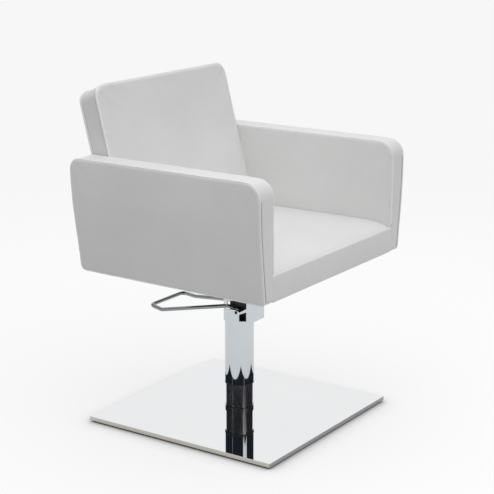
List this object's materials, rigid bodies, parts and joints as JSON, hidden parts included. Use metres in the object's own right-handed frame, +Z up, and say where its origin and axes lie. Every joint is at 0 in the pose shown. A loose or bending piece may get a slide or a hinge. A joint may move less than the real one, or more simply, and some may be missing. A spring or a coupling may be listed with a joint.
{
  "type": "styling chair",
  "caption": "Hydraulic salon styling chair: boxy upholstered armchair seat on a two-stage column with a pump lever, over a square floor plate.",
  "frame": {"origin": "centre of the square base's underside, on the column axis, on the floor", "axes": "+Z up along the column; the sitter faces -Y; +X is the sitter's left"},
  "size_m": [0.657, 0.5615, 0.85],
  "materials": {
    "white_vinyl": "satin",
    "chrome": "polished",
    "mirror_steel": "polished",
    "zinc_steel": "satin",
    "machined_steel": "satin",
    "black_steel": "satin",
    "black_cast": "matte",
    "rubber": "matte",
    "nylon": "matte",
    "bronze": "satin",
    "plywood": "matte",
    "black_cloth": "matte"
  },
  "bodies": {
    "base": {"base_gasket": "rubber", "base_core_plate": "machined_steel", "base_cover": "mirror_steel", "base_flange": "machined_steel", "flange_screws": "zinc_steel", "column_trim_ring": "chrome", "bearing_lower_race": "machined_steel", "bearing_balls": "machined_steel", "bearing_cage": "bronze", "spigot_circlip": "black_steel"},
    "rotor": {"bearing_upper_race": "machined_steel", "lower_tube": "chrome", "tube_foot": "machined_steel", "rod_anchor": "machined_steel", "torque_key": "machined_steel", "piston_rod": "machined_steel", "piston": "machined_steel", "piston_seal": "rubber", "piston_nut": "zinc_steel", "upper_guide_ring": "nylon"},
    "seat": {"column_tube": "chrome", "guide_bush": "bronze", "scraper_ring": "rubber", "pump_cylinder": "machined_steel", "rod_gland": "bronze", "rod_seal": "rubber", "reservoir_tube": "machined_steel", "reservoir_end_ring": "machined_steel", "pump_block": "black_cast", "head_housing": "chrome", "lever_pivot_pin": "black_steel", "plunger_seal": "rubber", "plunger_spring": "zinc_steel", "seat_mount_plate": "black_steel", "mount_bolts": "zinc_steel", "tee_nuts": "zinc_steel", "seat_board": "plywood", "dust_cover": "black_cloth", "seat_cushion": "white_vinyl", "front_panel": "white_vinyl", "rear_panel": "white_vinyl", "arm_frame_right": "plywood", "arm_frame_left": "plywood", "arm_pad_right": "white_vinyl", "arm_pad_left": "white_vinyl", "arm_brackets": "zinc_steel", "arm_screws": "zinc_steel", "back_frame": "plywood", "back_brackets": "zinc_steel", "foot_screws": "zinc_steel", "back_screws": "zinc_steel", "back_pad": "white_vinyl"},
    "lever": {"lever_hub": "machined_steel", "lever_rod": "chrome"},
    "plunger": {"pump_plunger": "machined_steel"}
  },
  "joints": [
    {"name": "swivel", "type": "hinge", "parent": "base", "child": "rotor", "pos_m": [0, 0, 0.03], "axis": [0, 0, 1], "continuous": true},
    {"name": "lift", "type": "slide", "parent": "rotor", "child": "seat", "axis": [0, 0, 1], "range_m": [0, 0.12]},
    {"name": "lever_press", "type": "hinge", "parent": "seat", "child": "lever", "pos_m": [0, -0.015, 0.276], "axis": [1, 0, 0], "range_deg": [-24, 0], "stiffness_Nm_per_rad": 1.5, "springref_deg": 51.57},
    {"name": "plunger_stroke", "type": "slide", "parent": "seat", "child": "plunger", "axis": [0, 0, 1], "range_m": [-0.007, 0], "stiffness_N_per_m": 1200, "springref_m": 0.006, "deforming": ["plunger_spring"]}
  ],
  "couplings": [
    {"joint": "plunger_stroke", "follows": "lever_press", "m_per_rad": 0.016}
  ]
}
